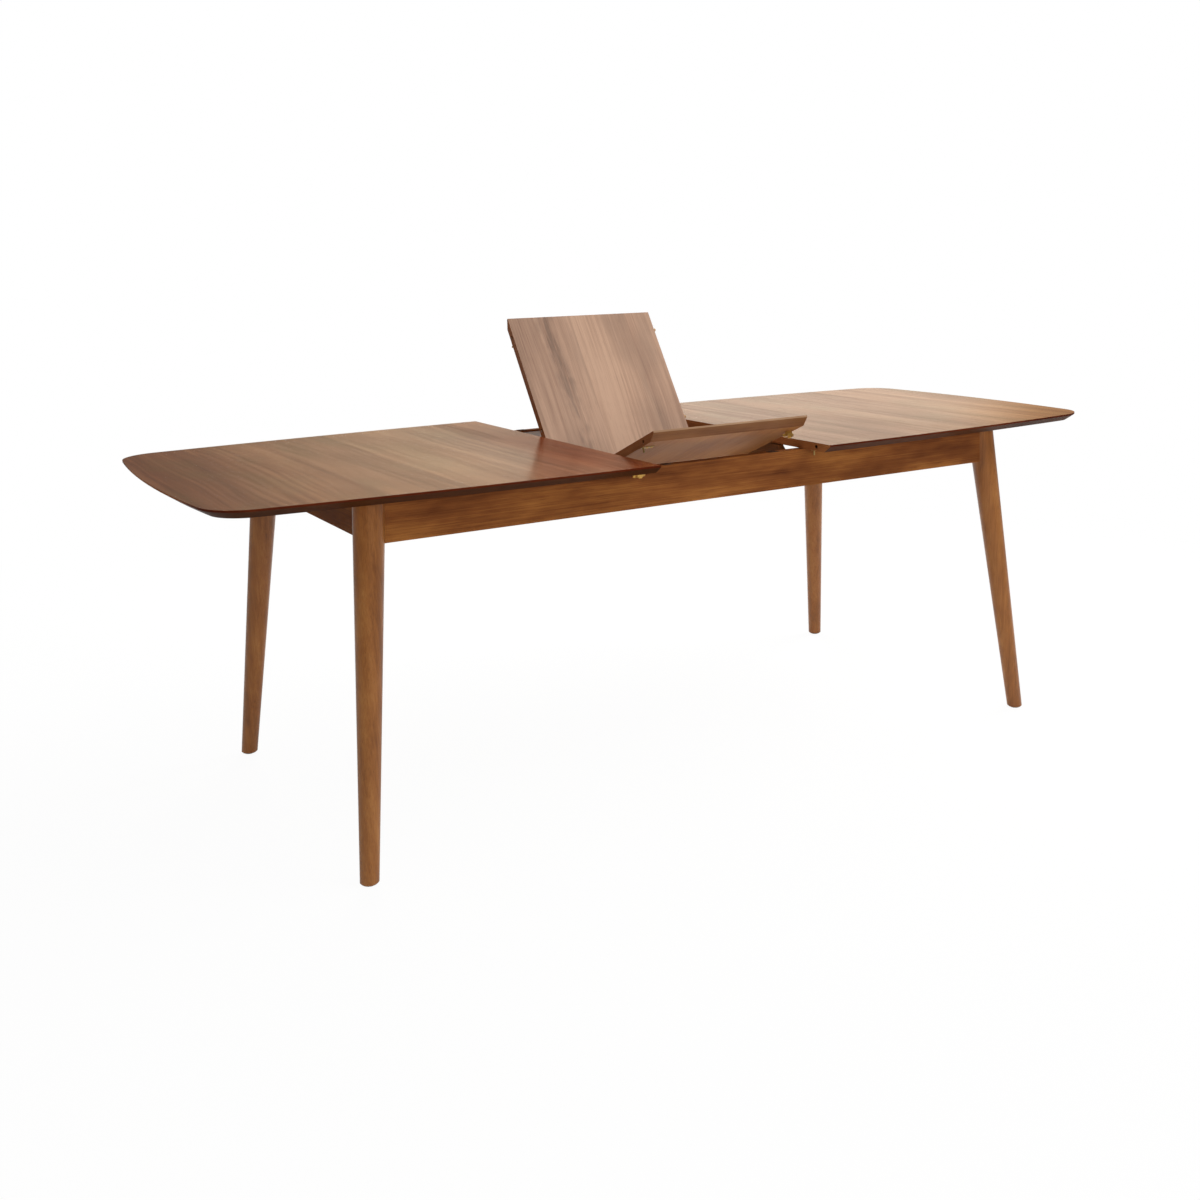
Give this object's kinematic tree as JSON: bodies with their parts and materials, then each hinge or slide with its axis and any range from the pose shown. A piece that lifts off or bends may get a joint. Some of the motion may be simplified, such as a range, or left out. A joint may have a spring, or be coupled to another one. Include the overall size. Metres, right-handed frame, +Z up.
{
  "type": "extending dining table",
  "caption": "Wooden dining table with round splayed legs, two sliding top halves and a folding butterfly leaf standing part way up in the gap between them.",
  "frame": {"origin": "on the floor, under the middle of the table", "axes": "+X along the table to the right end, +Y to the back, +Z up"},
  "size_m": [2.238, 0.9, 1.0151],
  "materials": {
    "top_wood": "satin lacquered walnut veneer",
    "frame_wood": "satin lacquered stained hardwood",
    "inner_wood": "thinly stained hardwood",
    "dowel_wood": "plain turned beech",
    "brass": "brass plated",
    "slide_steel": "zinc plated",
    "plated_steel": "zinc plated",
    "nylon": "matt",
    "felt": "felt"
  },
  "bodies": {
    "frame": {"apron_back": "frame_wood", "apron_front": "frame_wood", "apron_left": "frame_wood", "apron_right": "frame_wood", "corner_block_back_left": "inner_wood", "corner_block_back_right": "inner_wood", "corner_block_front_left": "inner_wood", "corner_block_front_right": "inner_wood", "cross_rail_left": "inner_wood", "cross_rail_right": "inner_wood", "felt_pads": "felt", "foot_glides": "nylon", "hanger_bolts": "plated_steel", "hanger_nuts": "plated_steel", "leaf_carrier_left": "inner_wood", "leaf_carrier_right": "inner_wood", "leaf_stop_rail": "inner_wood", "leg_back_left": "frame_wood", "leg_back_right": "frame_wood", "leg_front_left": "frame_wood", "leg_front_right": "frame_wood", "pivot_bushes": "nylon", "slide_outers_left": "slide_steel", "slide_outers_right": "slide_steel"},
    "top_left": {"top_left": "top_wood", "alignment_pins_left": "dowel_wood", "runner_left_front": "inner_wood", "runner_left_back": "inner_wood", "slide_inners_left": "slide_steel", "cross_batten_left": "inner_wood", "hook_screws_left": "brass"},
    "top_right": {"top_right": "top_wood", "runner_right_front": "inner_wood", "runner_right_back": "inner_wood", "slide_inners_right": "slide_steel", "cross_batten_right": "inner_wood", "keepers_right": "brass"},
    "slide_middles_left": {"slide_middles_left": "slide_steel"},
    "slide_middles_right": {"slide_middles_right": "slide_steel"},
    "leaf_back": {"leaf_back": "top_wood", "pivot_bracket_left": "plated_steel", "pivot_bracket_right": "plated_steel", "pivot_pins": "plated_steel", "hinge_barrels_back": "brass", "alignment_pins_leaf_back": "dowel_wood", "keeper_leaf_back": "brass", "hook_screw_leaf_back": "brass"},
    "leaf_front": {"leaf_front": "top_wood", "hinge_barrels_front": "brass", "alignment_pins_leaf_front": "dowel_wood", "keeper_leaf_front": "brass", "hook_screw_leaf_front": "brass"},
    "hinge_links": {"hinge_links": "brass"},
    "hook_left_front": {"hook_left_front": "brass"},
    "hook_left_back": {"hook_left_back": "brass"},
    "hook_leaf_front": {"hook_leaf_front": "brass"},
    "hook_leaf_back": {"hook_leaf_back": "brass"}
  },
  "joints": [
    {"name": "top_left_slide", "type": "slide", "parent": "frame", "child": "top_left", "axis": [1, 0, 0], "range_m": [0, 0.0187]},
    {"name": "top_right_slide", "type": "slide", "parent": "frame", "child": "top_right", "axis": [-1, 0, 0], "range_m": [0, 0.0187]},
    {"name": "slide_middles_left_slide", "type": "slide", "parent": "frame", "child": "slide_middles_left", "axis": [1, 0, 0], "range_m": [0, 0.00935]},
    {"name": "slide_middles_right_slide", "type": "slide", "parent": "frame", "child": "slide_middles_right", "axis": [-1, 0, 0], "range_m": [0, 0.00935]},
    {"name": "leaf_pivot", "type": "hinge", "parent": "frame", "child": "leaf_back", "pos_m": [0, 0.115, 0.717], "axis": [-1, 0, 0], "range_deg": [-71.3, 56.7]},
    {"name": "leaf_hinge", "type": "hinge", "parent": "leaf_back", "child": "leaf_front", "pos_m": [0, 0.02428, 0.639], "axis": [1, 0, 0], "range_deg": [-99.8, 79.4]},
    {"name": "hinge_link_turn", "type": "hinge", "parent": "leaf_back", "child": "hinge_links", "pos_m": [0, 0.02428, 0.639], "axis": [1, 0, 0], "range_deg": [-50, 39.8]},
    {"name": "hook_left_front_turn", "type": "hinge", "parent": "top_left", "child": "hook_left_front", "pos_m": [-0.232, -0.388, 0.7232], "axis": [0, 0, 1], "range_deg": [0, 160]},
    {"name": "hook_left_back_turn", "type": "hinge", "parent": "top_left", "child": "hook_left_back", "pos_m": [-0.232, 0.388, 0.7232], "axis": [0, 0, -1], "range_deg": [0, 160]},
    {"name": "hook_leaf_front_turn", "type": "hinge", "parent": "leaf_front", "child": "hook_leaf_front", "pos_m": [0.187, -0.34422, 0.76336], "axis": [0, 0.3843, 0.9232], "range_deg": [0, 160]},
    {"name": "hook_leaf_back_turn", "type": "hinge", "parent": "leaf_back", "child": "hook_leaf_back", "pos_m": [0.187, 0.2597, 0.94858], "axis": [0, 0.8358, -0.549], "range_deg": [0, 160]}
  ],
  "couplings": [
    {"joint": "slide_middles_left_slide", "follows": "top_left_slide", "ratio": 0.5},
    {"joint": "slide_middles_right_slide", "follows": "top_right_slide", "ratio": 0.5},
    {"joint": "leaf_hinge", "follows": "leaf_pivot", "ratio": 1.3986},
    {"joint": "hinge_link_turn", "follows": "leaf_pivot", "ratio": 0.69929}
  ]
}
